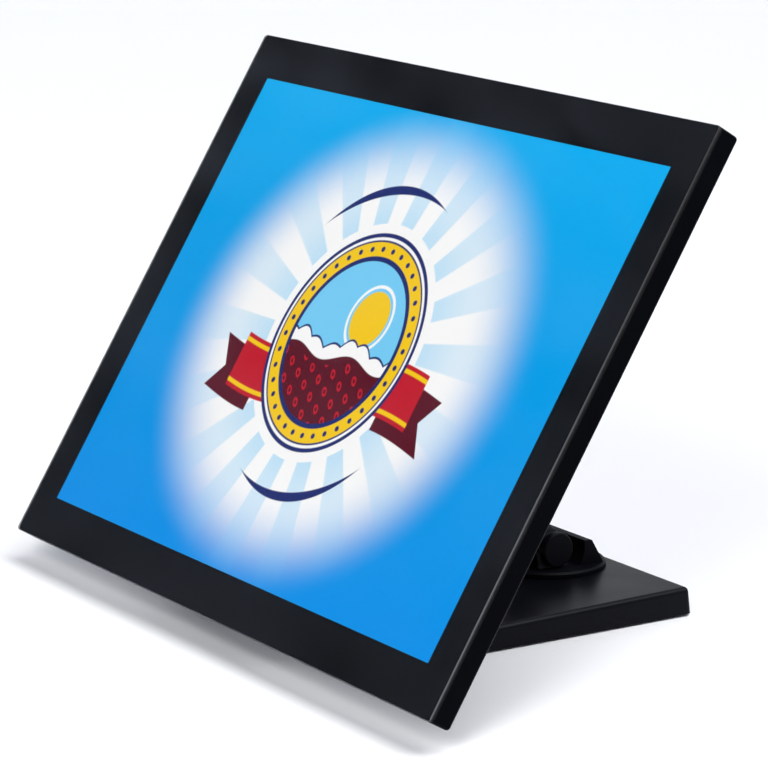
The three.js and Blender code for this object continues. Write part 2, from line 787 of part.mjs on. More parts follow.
function powerWalls() {
  const sunk = rearWall / 2
  const outline = roundedRectangle(powerWidth, powerHeight, powerCorner)
  const room = 2 * powerWall
  const inner = roundedRectangle(powerWidth - room, powerHeight - room, powerCorner - powerWall)
  const walls = cut(
    layerAt(outline, boxDepth - sunk, powerBack, 0, -powerDrop),
    layerAt(inner, boxDepth - rearWall, powerBack + overrun, 0, -powerDrop),
  )
  const bosses = lidScrewPlaces.map(([x, z]) => bar('y', lidBoss, boxDepth - sunk, powerBack, x, z))
  const standoffs = standoffPlaces.map(([x, z]) =>
    bar('y', standoffRadius, boxDepth - sunk, boxDepth + boardStandoff - gap, x, z))
  const pins = standoffPlaces.map(([x, z]) =>
    bar('y', pinRadius, boxDepth, boxDepth + boardStandoff + boardThickness + pinEnd, x, z, screwSides))
  return join(walls, ...bosses, ...standoffs, ...pins)
}

function rearHousing() {
  const sunk = rearWall / 2
  const room = layer(roundedRectangle(2 * trayHalfWidth, 2 * trayHalfHeight, innerCorner), 0, trayFloor)
  const padLevels = [[0, boxDepth - sunk], [0, padBack - padBevel], [padBevel, padBack]]
  const pad = boxed(padSize, padSize, padCorner, padLevels)
  const ribX = keeperHalfWidth - keeperWidth / 2
  const ribDepth = [magnetFront, trayFloor + sunk]
  const ribs = [-ribX, ribX].map((x) =>
    block([x - ribWall / 2, x + ribWall / 2], ribDepth, [-ribLength / 2, ribLength / 2]))
  const lidScrewEnd = powerBack + lidThickness - lidScrewLength
  const padHoles = padBoltPlaces.map(([x, z]) =>
    bar('y', boltRadius + gap, bracketBack - boltLength, padBack + overrun, x, z, screwSides))
  const lidHoles = lidScrewPlaces.map(([x, z]) =>
    bar('y', lidScrewRadius + gap, lidScrewEnd, powerBack + overrun, x, z, screwSides))
  const switchHole = block(
    [powerWidth / 2 - powerWall - overrun, powerWidth / 2 + overrun],
    [powerMiddle - switchWidth / 2 - gap, powerMiddle + switchWidth / 2 + gap],
    [-powerDrop - switchLength / 2 - gap, -powerDrop + switchLength / 2 + gap],
  )
  const leftWall = -powerWidth / 2
  const jackHole = bar('x', jackRadius + gap, leftWall - overrun, leftWall + powerWall + overrun,
    powerMiddle, -powerDrop, fineSides)
  const tray = join(cut(trayOutside(), room), ...ribs, pad, powerWalls())
  return cut(tray, ...padHoles, ...lidHoles, switchHole, jackHole)
}

function serviceCover() {
  const seat = powerBack + gap
  const back = seat + lidThickness
  const levels = [[0, seat], [0, back - lidEdge], [lidEdge, back]]
  const lid = boxed(powerWidth, powerHeight, powerCorner, levels).translate(0, 0, -powerDrop)
  const holes = lidScrewPlaces.map(([x, z]) =>
    bar('y', lidScrewRadius + gap, seat - overrun, back + overrun, x, z, screwSides))
  const vents = Array.from({ length: ventCount }, (_, i) => {
    const x = (i - (ventCount - 1) / 2) * ventPitch
    const slot = roundedRectangle(ventWidth, ventLength, ventWidth / 2 - gap / 2)
    return layerAt(slot, seat - overrun, back + overrun, x, -powerDrop)
  })
  return cut(lid, ...holes, ...vents)
}

// Driver board with its soldered parts
function driverBoard() {
  const front = boxDepth + boardStandoff
  const top = front + boardThickness
  const x = (share) => boardShift + boardLength * share
  const z = (share) => -powerDrop + boardHeight * share
  const holes = standoffPlaces.map(([a, b]) =>
    bar('y', pinRadius + gap, front - overrun, top + overrun, a, b, screwSides))
  const outline = roundedRectangle(boardLength, boardHeight, innerCorner)
  const sheet = layerAt(outline, front, top, boardShift, -powerDrop)
  const squareChip = (share, side, height) => block(
    [x(share) - side / 2, x(share) + side / 2],
    [top - partSeat, top + height],
    [-powerDrop - side / 2, -powerDrop + side / 2],
  )
  return join(
    cut(sheet, ...holes),
    ...[-0.3, -0.18].map((share) =>
      bar('y', capacitorRadius, top - partSeat, top + capacitorHeight, x(share), z(0.12))),
    bar('y', coilRadius, top - partSeat, top + coilHeight, x(0.12), z(0), fineSides),
    squareChip(-0.04, chipCase, chipCaseHeight),
    squareChip(0.3, plugBlock, plugBlockHeight),
  )
}

// Jack: a flanged barrel through the compartment's left wall, with its pin in the middle
function jack() {
  const flange = -gap - jackFlangeThickness
  const inner = flange + jackDepth + jackFloor
  const barrel = turned([
    [0, flange + jackPinFree], [jackPinRadius, flange + jackPinFree], [jackPinRadius, inner - jackFloor],
    [jackBore, inner - jackFloor], [jackBore, flange], [jackFlange, flange], [jackFlange, -gap],
    [jackRadius, -gap], [jackRadius, inner], [0, inner],
  ], smallSides)
  return barrel.translate(-powerWidth / 2, powerMiddle, -powerDrop)
}

// Rocker switch in the compartment's right wall: X points out of the wall, Z along the rocker
const switchPivot = powerWidth / 2 + gap + bezelThickness - rockerRise

function switchBody() {
  const wall = powerWidth / 2
  const y = (half) => [powerMiddle - half, powerMiddle + half]
  const z = (half) => [-powerDrop - half, -powerDrop + half]
  const bezel = block([wall + gap, wall + gap + bezelThickness], y(bezelWidth / 2), z(bezelLength / 2))
  const inner = wall + gap + bezelThickness - switchDepth
  const can = block([inner, wall + gap + bezelThickness / 2], y(switchWidth / 2), z(switchLength / 2))
  const swing = Math.hypot(rockerLength / 2, rockerRise + rockerEdge / 2)
  const pocket = block(
    [wall + gap + bezelThickness - switchPocketDepth, wall + gap + bezelThickness + overrun],
    y(rockerWidth / 2 + gap),
    z(swing + pocketEndRoom),
  )
  const terminals = [-1, 0, 1].map((side) => block(
    [inner - terminalLength, inner + terminalThickness],
    y(terminalThickness / 2),
    z(terminalWidth / 2).map((place) => place + side * terminalPitch),
  ))
  return join(cut(join(bezel, can), pocket), ...terminals)
}

function rocker() {
  const end = rockerLength / 2
  const lift = end * Math.tan(rockerAngle)
  const shape = new THREE.Shape()
  shape.moveTo(end, rockerRise + lift - rockerEdge)
  shape.lineTo(end, rockerRise + lift)
  shape.quadraticCurveTo(0, rockerRise - lift, -end, rockerRise + lift)
  shape.lineTo(-end, rockerRise + lift - rockerEdge)
  shape.quadraticCurveTo(0, -2 * rockerBelly, end, rockerRise + lift - rockerEdge)
  const key = extruded(shape, rockerWidth).translate(0, 0, -rockerWidth / 2)
  const standing = new THREE.Matrix4().makeBasis(
    new THREE.Vector3(0, 0, 1),
    new THREE.Vector3(1, 0, 0),
    new THREE.Vector3(0, 1, 0),
  )
  return key.applyMatrix4(standing).rotateY(rockerAngle).translate(switchPivot, powerMiddle, -powerDrop)
}

// Head bracket: a plate bolted to the pad, with two lugs that reach back to the upper axle
function headBracket() {
  const outline = roundedRectangle(bracketSize, bracketSize, bracketCorner)
  const plate = layer(outline, bracketFront, bracketBack)
  const sunk = bracketThickness / 2
  const lugs = lugPair(pivotDepth - bracketBack + sunk, lugFlare)
    .map((lug) => lug.rotateX(-quarterTurn).translate(0, bracketBack - sunk, 0))
  const bores = lugBores(pivotDepth, 0)
  const holes = padBoltPlaces.map(([x, z]) =>
    bar('y', boltRadius + gap, bracketFront - overrun, bracketBack + overrun, x, z, screwSides))
  return cut(join(plate, ...lugs), bores, ...holes)
}

// Rails: channels open towards the housing wall, which back the light strips and carry the magnets
function channel(inner, outer) {
  const shape = new THREE.Shape()
  shape.moveTo(railFront, inner)
  shape.lineTo(railBack, inner)
  shape.lineTo(railBack, outer)
  shape.lineTo(railBack - railWall, outer)
  shape.lineTo(railBack - railWall, inner + railWall)
  shape.lineTo(railFront + railWall, inner + railWall)
  shape.lineTo(railFront + railWall, outer)
  shape.lineTo(railFront, outer)
  return shape
}

function buildRails() {
  const half = trayHalfWidth - gap
  const rail = () => slab(channel(endRailInner, endRailOuter), -half, half)
  const middle = (endRailInner + endRailOuter) / 2
  const magnet = () => block(
    [-magnetLength / 2, magnetLength / 2],
    [magnetFront, magnetFront + magnetThickness],
    [middle - magnetWidth / 2, middle + magnetWidth / 2],
  )
  piece(face, 'led_rail_top', rail(), finishes.aluminium)
  piece(face, 'led_rail_bottom', rail().rotateY(2 * quarterTurn), finishes.aluminium)
  piece(face, 'magnet_strip_top', magnet(), finishes.magnet)
  piece(face, 'magnet_strip_bottom', magnet().rotateY(2 * quarterTurn), finishes.magnet)
}

// A light strip: a narrow board with its light chips facing the guide
function lightStrip() {
  const front = railFront + stripEdge
  const back = railBack - stripEdge
  const middle = (guideFront + guideBack) / 2
  const board = block([-guideHalfWidth, guideHalfWidth], [front, back], [stripInner, stripOuter])
  const pitch = (2 * guideHalfWidth) / chipCount
  const sunk = stripThickness / 2
  const chips = Array.from({ length: chipCount }, (_, i) => {
    const x = (i - (chipCount - 1) / 2) * pitch
    return block(
      [x - chipLength / 2, x + chipLength / 2],
      [middle - chipHeight / 2, middle + chipHeight / 2],
      [stripInner - chipThickness, stripInner + sunk],
    )
  })
  return join(board, together(chips))
}

function sheetOf(halfWidth, halfHeight, front, back) {
  return block([-halfWidth, halfWidth], [front, back], [-halfHeight, halfHeight])
}

function buildLightStack() {
  const behindBorder = (front, back) => sheetOf(guideHalfWidth, guideHalfHeight, front, back)
  piece(face, 'reflector_sheet', behindBorder(reflectorFront, reflectorBack), finishes.whiteSheet)
  piece(face, 'light_guide', behindBorder(guideFront, guideBack), finishes.clearGuide)
  piece(face, 'diffuser_sheet', behindBorder(diffuserFront, diffuserBack), finishes.whiteSheet)
  piece(face, 'graphic_film', sheetOf(filmWidth / 2, filmHeight / 2, filmFront, filmBack), finishes.film)
  piece(face, 'led_strip_top', lightStrip(), finishes.stripWhite)
  piece(face, 'led_strip_bottom', lightStrip().rotateY(2 * quarterTurn), finishes.stripWhite)
}

// Front panel: a clear pane with a black border on its back and a steel frame for the magnets
function buildFrontPanel() {
  const outline = roundedRectangle(boxWidth, boxHeight, boxCorner)
  const paneLevels = [[paneBevel, 0], [0, paneBevel], [0, paneThickness]]
  const pane = boxed(boxWidth, boxHeight, boxCorner, paneLevels)
  const mask = cut(
    layer(outline, maskFront, maskBack),
    sheetOf(windowWidth / 2, windowHeight / 2, maskFront - overrun, maskBack + overrun),
  )
  const keeper = cut(
    sheetOf(keeperHalfWidth, keeperHalfHeight, rimFront, keeperBack),
    sheetOf(keeperHalfWidth - keeperWidth, keeperHalfHeight - keeperWidth, maskBack, magnetFront),
  )
  piece(face, 'front_pane', pane, finishes.clearPane)
  piece(face, 'border_mask', mask, finishes.maskInk)
  piece(face, 'keeper_frame', keeper, finishes.steel)
}

function buildHead() {
  piece(face, 'rear_housing', rearHousing(), finishes.blackHousing)
  piece(face, 'service_cover', serviceCover(), finishes.blackHousing)
  const lidSize = [lidScrewHead, lidScrewHeadHeight, lidScrewRadius, lidScrewLength]
  pieces(face, 'service_cover_screw', faceCorners, lidScrewPlaces, finishes.steel, (place) =>
    rearScrew(lidSize, powerBack + lidThickness + 2 * gap, place))
  piece(face, 'driver_board', driverBoard(), finishes.boardGreen)
  piece(face, 'dc_jack', jack(), finishes.switchBlack)
  piece(face, 'switch_body', switchBody(), finishes.switchBlack)
  piece(face, 'switch_rocker', rocker(), finishes.switchBlack)
  piece(face, 'head_bracket', headBracket(), finishes.blackSteel)
  const boltSize = [boltHead, boltHeadHeight, boltRadius, boltLength]
  pieces(face, 'head_bracket_screw', faceCorners, padBoltPlaces, finishes.steel, (place) =>
    rearScrew(boltSize, bracketBack + gap, place))
  hingeParts(face, 'head', pivotDepth, 0)
  buildRails()
  buildLightStack()
  buildFrontPanel()
}

// The whole is moved so that the middle of its length is over the origin
function centreOnCounter() {
  lightBoxStand.updateMatrixWorld(true)
  const lowestFront = face.localToWorld(new THREE.Vector3(0, 0, -boxHeight / 2 + paneBevel))
  lightBoxStand.position.y = -(lowestFront.y + backEdge) / 2
}

buildBase()
buildArm()
buildHead()
centreOnCounter()

export default lightBoxStand
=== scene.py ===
import json
import math
import bpy
from mathutils import Matrix, Vector

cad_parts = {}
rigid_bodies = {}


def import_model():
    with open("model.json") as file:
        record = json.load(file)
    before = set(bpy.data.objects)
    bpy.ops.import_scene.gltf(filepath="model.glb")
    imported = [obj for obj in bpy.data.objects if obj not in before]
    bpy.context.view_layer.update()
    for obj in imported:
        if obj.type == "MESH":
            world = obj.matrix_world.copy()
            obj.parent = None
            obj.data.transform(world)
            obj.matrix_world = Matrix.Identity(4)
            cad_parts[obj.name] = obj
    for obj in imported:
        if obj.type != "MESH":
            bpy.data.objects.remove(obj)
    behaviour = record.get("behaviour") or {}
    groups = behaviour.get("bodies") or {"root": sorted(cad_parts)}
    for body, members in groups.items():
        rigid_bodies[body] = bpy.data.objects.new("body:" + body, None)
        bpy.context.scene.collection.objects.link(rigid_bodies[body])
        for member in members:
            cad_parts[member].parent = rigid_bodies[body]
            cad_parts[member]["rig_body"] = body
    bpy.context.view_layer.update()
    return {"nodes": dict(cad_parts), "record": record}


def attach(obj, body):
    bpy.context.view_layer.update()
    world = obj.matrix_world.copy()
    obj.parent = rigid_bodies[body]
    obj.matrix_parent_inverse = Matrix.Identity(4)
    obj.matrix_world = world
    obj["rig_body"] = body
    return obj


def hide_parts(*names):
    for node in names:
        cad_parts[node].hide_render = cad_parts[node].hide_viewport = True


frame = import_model()
nodes = frame["nodes"]
print("stand and light box loaded:", len(nodes), "parts")

# how far the display leans back, and the way into it
faceLean = math.radians(31.6)
backward = Vector((0.0, math.cos(faceLean), -math.sin(faceLean)))
sameFlat = 0.00005  # metres by which the points of one flat face may differ


# small helpers for places
def pointsOf(nodeName):  # a CAD piece's points
    return [corner.co for corner in nodes[nodeName].data.vertices]


def furthest(points, way):  # those of them on the flat face that lies furthest that way
    reach = max(point.dot(way) for point in points)
    return [point for point in points if point.dot(way) > reach - sameFlat]


def middleOf(points):  # middle of the box round them
    return Vector([(min(places) + max(places)) / 2 for places in zip(*points)])


faceCentre = middleOf(furthest(pointsOf("front_pane"), -backward))


def linearOf(red, green, blue):  # a screen colour, 0 to 255, on the render's own scale
    shares = [channel / 255 for channel in (red, green, blue)]
    scaled = [((share + 0.055) / 1.055) ** 2.4 if share > 0.04 else share / 12.92 for share in shares]
    return (*scaled, 1.0)


# small helpers for node trees
def feed(tree, socket, value):  # a link where the value comes from a node, otherwise the value itself
    if isinstance(value, bpy.types.NodeSocket):
        tree.links.new(value, socket)
    else:
        socket.default_value = value


def addNode(tree, kind, inputs=None, **settings):
    made = tree.nodes.new(kind)
    for key, value in settings.items():
        setattr(made, key, value)
    for key, value in (inputs or {}).items():
        feed(tree, made.inputs[key], value)
    return made


def calc(tree, operation, *values):
    return addNode(tree, "ShaderNodeMath", dict(enumerate(values)), operation=operation).outputs[0]


def ramp(tree, value, low, high, toLow=0.0, toHigh=1.0, shape="LINEAR"):
    inputs = {"Value": value, "From Min": low, "From Max": high, "To Min": toLow, "To Max": toHigh}
    return addNode(tree, "ShaderNodeMapRange", inputs, interpolation_type=shape).outputs["Result"]


def scaleColour(tree, colour, share):
    return addNode(tree, "ShaderNodeVectorMath", {0: colour, "Scale": share}, operation="SCALE").outputs[0]


def blendColour(tree, share, first, second):  # sockets 0, 6 and 7 are the mix node's share and two colours
    mix = addNode(tree, "ShaderNodeMix", {0: share, 6: first, 7: second}, data_type="RGBA")
    return mix.outputs[2]


def effectGroup(name, inputs, outputs):
    tree = bpy.data.node_groups.new(name, "ShaderNodeTree")
    for label, kind, value in inputs:
        tree.interface.new_socket(name=label, in_out="INPUT", socket_type=kind).default_value = value
    for label, kind in outputs:
        tree.interface.new_socket(name=label, in_out="OUTPUT", socket_type=kind)
    return tree, tree.nodes.new("NodeGroupInput").outputs, tree.nodes.new("NodeGroupOutput").inputs


def useGroup(tree, group, inputs):
    return addNode(tree, "ShaderNodeGroup", inputs, node_tree=group).outputs


# shared surface effects
finishDetail = dict(grainDetail=2.0, grainRoughness=0.6, grainShare=0.06,
                    smudgeDetail=4.0, smudgeRoughness=0.55, smudgeWarp=0.8, smudgeLow=0.35, smudgeHigh=0.68,
                    speckScale=620.0, speckDetail=1.0, speckLow=0.68, speckHigh=0.74)
brushDetail = dict(detail=3.0, low=0.3, high=0.7, dark=0.82, light=1.1, roughShare=0.16)


def buildFinishGroup(look):
    # grain of the moulding or coat, soft smudges from handling, and a little dust
    tree, given, out = effectGroup(
        "surfaceFinish",
        [("Colour", "NodeSocketColor", (0.02, 0.02, 0.02, 1)),
         ("Dust Colour", "NodeSocketColor", (0.3, 0.3, 0.3, 1)),
         ("Grain Scale", "NodeSocketFloat", 1800.0), ("Smudge Scale", "NodeSocketFloat", 14.0),
         ("Roughness", "NodeSocketFloat", 0.45), ("Roughness Spread", "NodeSocketFloat", 0.08),
         ("Tone Spread", "NodeSocketFloat", 0.15), ("Dust", "NodeSocketFloat", 0.02)],
        [("Colour", "NodeSocketColor"), ("Roughness", "NodeSocketFloat"), ("Height", "NodeSocketFloat")])
    place = addNode(tree, "ShaderNodeTexCoord").outputs["Object"]
    grain = addNode(tree, "ShaderNodeTexNoise",
                    {"Vector": place, "Scale": given["Grain Scale"], "Detail": look["grainDetail"],
                     "Roughness": look["grainRoughness"]})
    smudge = addNode(tree, "ShaderNodeTexNoise",
                     {"Vector": place, "Scale": given["Smudge Scale"], "Detail": look["smudgeDetail"],
                      "Roughness": look["smudgeRoughness"], "Distortion": look["smudgeWarp"]})
    speck = addNode(tree, "ShaderNodeTexNoise",
                    {"Vector": place, "Scale": look["speckScale"], "Detail": look["speckDetail"]})
    soft = ramp(tree, smudge.outputs["Fac"], look["smudgeLow"], look["smudgeHigh"], -1.0, 1.0)
    toned = scaleColour(tree, given["Colour"], calc(tree, "MULTIPLY_ADD", soft, given["Tone Spread"], 1.0))
    fallen = ramp(tree, speck.outputs["Fac"], look["speckLow"], look["speckHigh"])
    settled = calc(tree, "MULTIPLY", fallen, given["Dust"])
    tree.links.new(blendColour(tree, settled, toned, given["Dust Colour"]), out["Colour"])
    fine = calc(tree, "MULTIPLY_ADD", grain.outputs["Fac"], look["grainShare"], given["Roughness"])
    tree.links.new(calc(tree, "MULTIPLY_ADD", soft, given["Roughness Spread"], fine), out["Roughness"])
    tree.links.new(grain.outputs["Fac"], out["Height"])
    return tree


def buildBrushedGroup(look):
    # fine parallel brush lines along one axis
    tree, given, out = effectGroup(
        "brushLines",
        [("Roughness", "NodeSocketFloat", 0.35), ("Line Scale", "NodeSocketFloat", 900.0),
         ("Stretch", "NodeSocketVector", (1.0, 0.02, 1.0)),
         ("Colour", "NodeSocketColor", (0.5, 0.5, 0.5, 1))],
        [("Colour", "NodeSocketColor"), ("Roughness", "NodeSocketFloat"), ("Height", "NodeSocketFloat")])
    place = addNode(tree, "ShaderNodeTexCoord").outputs["Object"]
    drawn = addNode(tree, "ShaderNodeVectorMath", {0: place, 1: given["Stretch"]}, operation="MULTIPLY")
    lines = addNode(tree, "ShaderNodeTexNoise",
                    {"Vector": drawn.outputs[0], "Scale": given["Line Scale"], "Detail": look["detail"]})
    tone = ramp(tree, lines.outputs["Fac"], look["low"], look["high"], look["dark"], look["light"])
    tree.links.new(scaleColour(tree, given["Colour"], tone), out["Colour"])
    rough = calc(tree, "MULTIPLY_ADD", lines.outputs["Fac"], look["roughShare"], given["Roughness"])
    tree.links.new(rough, out["Roughness"])
    tree.links.new(lines.outputs["Fac"], out["Height"])
    return tree


finishGroup = buildFinishGroup(finishDetail)
brushGroup = buildBrushedGroup(brushDetail)
bumpDepth = dict(finish=0.0002, brushed=0.0001)  # metres


def newMaterial(name):
    material = bpy.data.materials.new(name)
    material.use_nodes = True
    tree = material.node_tree
    return material, tree, tree.nodes["Principled BSDF"]


def finishMaterial(name, look):
    material, tree, shader = newMaterial(name)
    labels = {"colour": "Colour", "grain": "Grain Scale", "smudge": "Smudge Scale", "dust": "Dust",
              "roughness": "Roughness", "roughSpread": "Roughness Spread", "toneSpread": "Tone Spread"}
    made = useGroup(tree, finishGroup, {labels[key]: look[key] for key in labels})
    bump = addNode(tree, "ShaderNodeBump", {"Height": made["Height"], "Strength": look["bump"],
                                            "Distance": bumpDepth["finish"]})
    tree.links.new(made["Colour"], shader.inputs["Base Color"])
    tree.links.new(made["Roughness"], shader.inputs["Roughness"])
    tree.links.new(bump.outputs[0], shader.inputs["Normal"])
    shader.inputs["Specular IOR Level"].default_value = look["specular"]
    return material


def brushedMaterial(name, look):
    material, tree, shader = newMaterial(name)
    made = useGroup(tree, brushGroup, {"Roughness": look["roughness"], "Line Scale": look["lines"],
                                       "Stretch": look["stretch"], "Colour": look["colour"]})
    bump = addNode(tree, "ShaderNodeBump", {"Height": made["Height"], "Strength": look["bump"],
                                            "Distance": bumpDepth["brushed"]})
    tree.links.new(made["Colour"], shader.inputs["Base Color"])
    tree.links.new(made["Roughness"], shader.inputs["Roughness"])
    tree.links.new(bump.outputs[0], shader.inputs["Normal"])
    shader.inputs["Metallic"].default_value = 1.0
    return material


finishes = {
    "housing_black": dict(colour=(0.0007, 0.0009, 0.0018, 1), grain=2200.0, smudge=9.0, roughness=0.34,
                          roughSpread=0.05, toneSpread=0.25, dust=0.006, bump=0.06, specular=0.02),
    "cover_black": dict(colour=(0.0019, 0.0022, 0.0036, 1), grain=1500.0, smudge=16.0, roughness=0.3,
                        roughSpread=0.04, toneSpread=0.2, dust=0.008, bump=0.05, specular=0.085),
    "cap_grey": dict(colour=(0.0022, 0.0025, 0.0037, 1), grain=1800.0, smudge=40.0, roughness=0.45,
                     roughSpread=0.05, toneSpread=0.15, dust=0.02, bump=0.15, specular=0.055),
    "steel_black": dict(colour=(0.012, 0.0122, 0.013, 1), grain=1100.0, smudge=30.0, roughness=0.5,
                        roughSpread=0.06, toneSpread=0.2, dust=0.04, bump=0.45, specular=0.4),
    "rubber_black": dict(colour=(0.011, 0.011, 0.011, 1), grain=2600.0, smudge=60.0, roughness=0.8,
                         roughSpread=0.08, toneSpread=0.2, dust=0.12, bump=0.5, specular=0.3),
    "washer_ivory": dict(colour=(0.55, 0.52, 0.43, 1), grain=2000.0, smudge=60.0, roughness=0.5,
                         roughSpread=0.05, toneSpread=0.06, dust=0.0, bump=0.1, specular=0.5),
    "fitting_black": dict(colour=(0.006, 0.006, 0.0066, 1), grain=2500.0, smudge=50.0, roughness=0.28,
                          roughSpread=0.03, toneSpread=0.15, dust=0.01, bump=0.03, specular=0.5),
    "border_black": dict(colour=(0.0022, 0.0026, 0.0036, 1), grain=900.0, smudge=7.0, roughness=0.5,
                         roughSpread=0.05, toneSpread=0.4, dust=0.0, bump=0.05, specular=0.2),
    "sheet_white": dict(colour=(0.82, 0.83, 0.82, 1), grain=1500.0, smudge=12.0, roughness=0.6,
                        roughSpread=0.04, toneSpread=0.03, dust=0.0, bump=0.1, specular=0.5),
    "strip_white": dict(colour=(0.72, 0.73, 0.69, 1), grain=1500.0, smudge=40.0, roughness=0.45,
                        roughSpread=0.04, toneSpread=0.05, dust=0.0, bump=0.1, specular=0.5),
    "magnet_grey": dict(colour=(0.06, 0.06, 0.065, 1), grain=1400.0, smudge=30.0, roughness=0.62,
                        roughSpread=0.05, toneSpread=0.12, dust=0.02, bump=0.3, specular=0.5),
    "board_green": dict(colour=(0.012, 0.075, 0.03, 1), grain=900.0, smudge=80.0, roughness=0.35,
                        roughSpread=0.05, toneSpread=0.2, dust=0.02, bump=0.2, specular=0.5),
}
brushedFinishes = {
    "steel_plain": dict(colour=(0.46, 0.47, 0.49, 1), roughness=0.26, lines=1500.0, bump=0.15,
                        stretch=(1.0, 0.05, 1.0)),
    "rail_aluminium": dict(colour=(0.7, 0.71, 0.73, 1), roughness=0.3, lines=1200.0, bump=0.15,
                           stretch=(0.02, 1.0, 1.0)),
}
materials = {name: finishMaterial(name, look) for name, look in finishes.items()}
materials.update({name: brushedMaterial(name, look) for name, look in brushedFinishes.items()})


def facePlaces(tree, centre):  # millimetres across, behind and up the face, from a point
    place = addNode(tree, "ShaderNodeTexCoord").outputs["Object"]
    turned = addNode(tree, "ShaderNodeMapping",
                     {"Vector": place, "Location": centre, "Rotation": (-faceLean, 0, 0),
                      "Scale": (0.001, 0.001, 0.001)}, vector_type="TEXTURE").outputs[0]
    return addNode(tree, "ShaderNodeSeparateXYZ", {0: turned}).outputs


def clearMaterial(name, look):
    material, tree, shader = newMaterial(name)
    given = {"Roughness": look["roughness"], "Roughness Spread": look["roughSpread"],
             "Smudge Scale": look["smudge"], "Grain Scale": look["grain"]}
    tree.links.new(useGroup(tree, finishGroup, given)["Roughness"], shader.inputs["Roughness"])
    shader.inputs["Base Color"].default_value = look["colour"]
    shader.inputs["Transmission Weight"].default_value = 1.0
    shader.inputs["IOR"].default_value = look["ior"]
    return material


def sawnEdgesWithPaintedGlow(material, look):
    # the pane's sawn left and right edges: cloudy, with a faint painted glow along them that stands in for
    # their highlight, more so towards the counter and at the front
    tree = material.node_tree
    shader = tree.nodes["Principled BSDF"]
    across, depth, up = facePlaces(tree, faceCentre)
    mask = ramp(tree, calc(tree, "ABSOLUTE", across), look["halfWidth"] - look["soft"], look["halfWidth"])
    plain = tuple(shader.inputs["Base Color"].default_value)
    tree.links.new(blendColour(tree, mask, plain, look["colour"]), shader.inputs["Base Color"])
    polished = shader.inputs["Roughness"].links[0].from_socket
    dull = ramp(tree, depth, look["litDepth"], look["darkDepth"], look["roughFront"], look["roughBack"])
    tree.links.new(calc(tree, "MAXIMUM", polished, calc(tree, "MULTIPLY", mask, dull)),
                   shader.inputs["Roughness"])
    # painted highlight: an emission along the edges, stronger towards the foot and fading behind the front
    glow = ramp(tree, up, look["reach"], -look["reach"], look["glowTop"], look["glowFoot"], "SMOOTHSTEP")
    kept = ramp(tree, depth, look["litDepth"], look["darkDepth"], 1.0, look["keptBack"])
    strength = calc(tree, "MULTIPLY", calc(tree, "MULTIPLY", mask, glow), kept)
    tree.links.new(scaleColour(tree, look["tint"], strength), shader.inputs["Emission Color"])
    shader.inputs["Emission Strength"].default_value = 1.0


clearFinishes = {
    "pane_clear": dict(colour=(1, 1, 1, 1), roughness=0.03, roughSpread=0.025, smudge=9.0, grain=300.0,
                       ior=1.49),
    "guide_clear": dict(colour=(0.95, 0.99, 1, 1), roughness=0.05, roughSpread=0.02, smudge=20.0,
                        grain=300.0, ior=1.49),
}
materials.update({name: clearMaterial(name, look) for name, look in clearFinishes.items()})
# places in millimetres across, behind and up the face
# the tint and the glow values set the painted highlight glowing along the pane's edges
paneEdge = dict(halfWidth=228.7, soft=0.15, reach=170.0, colour=(0.01, 0.01, 0.012, 1), roughFront=0.4,
                roughBack=1.0, tint=(0.88, 0.98, 1.14), glowTop=0.0, glowFoot=0.1, litDepth=0.4,
                darkDepth=1.0, keptBack=0.05)
sawnEdgesWithPaintedGlow(materials["pane_clear"], paneEdge)

# the lit print: sky, glow and a generic drink badge. Lengths are millimetres on the face.
artwork = dict(
    skyTop=linearOf(0, 173, 241), skyBottom=linearOf(0, 144, 232), white=linearOf(255, 255, 255),
    navy=linearOf(28, 42, 110), yellow=linearOf(250, 205, 20), maroon=linearOf(92, 16, 34),
    red=linearOf(196, 26, 44), pale=linearOf(120, 208, 250), inkEdge=0.35, halfHeight=143.0,
    glowOut=179.0, glowIn=98.0, glowRatio=1.155,
    rays=18.0, raySoft=0.12, rayIn=74.0, rayOut=150.0, rayShare=0.55,
    arc=95.0, arcWidth=3.2, arcStarts=(1.15, -2.0), arcSweep=1.3,
    ribbonHalf=17.0, ribbonReach=113.0, ribbonDrop=-24.0, ribbonWave=7.0, ribbonMiddle=92.0,
    tailDrop=8.0, tailNotch=0.7, tailsFrom=62.0, liningOut=2.6, liningIn=5.2,
    badge=68.0, badgeX=0.0, badgeY=2.0, rimLineOut=2.6, rimLineIn=4.4, ringOut=5.6, ringIn=14.5,
    beads=36.0, beadShift=10.0, beadsIn=10.0, beadRadius=1.7,
    pictureIn=16.5, frameOut=15.6, frameIn=17.6,
    sunX=14.0, sunY=17.0, sunRadius=17.0, haloIn=19.0, haloOut=21.0,
    liquid=3.2, liquidTurn=0.11, liquidTop=4.0, foam=3.4, foamTurn=0.2, foamLine=1.4, foamFoot=-6.0,
    bubbleGap=11.0, bubbleShift=20.0, bubbleSlant=0.5, bubblesFrom=-10.0, bubbleIn=1.2, bubbleOut=2.6,
    litFrom=60.0, litShare=1.05, strength=1.06, roughness=0.5, specular=0.1)


def length2d(tree, x, y):
    return calc(tree, "SQRT", calc(tree, "ADD", calc(tree, "MULTIPLY", x, x), calc(tree, "MULTIPLY", y, y)))


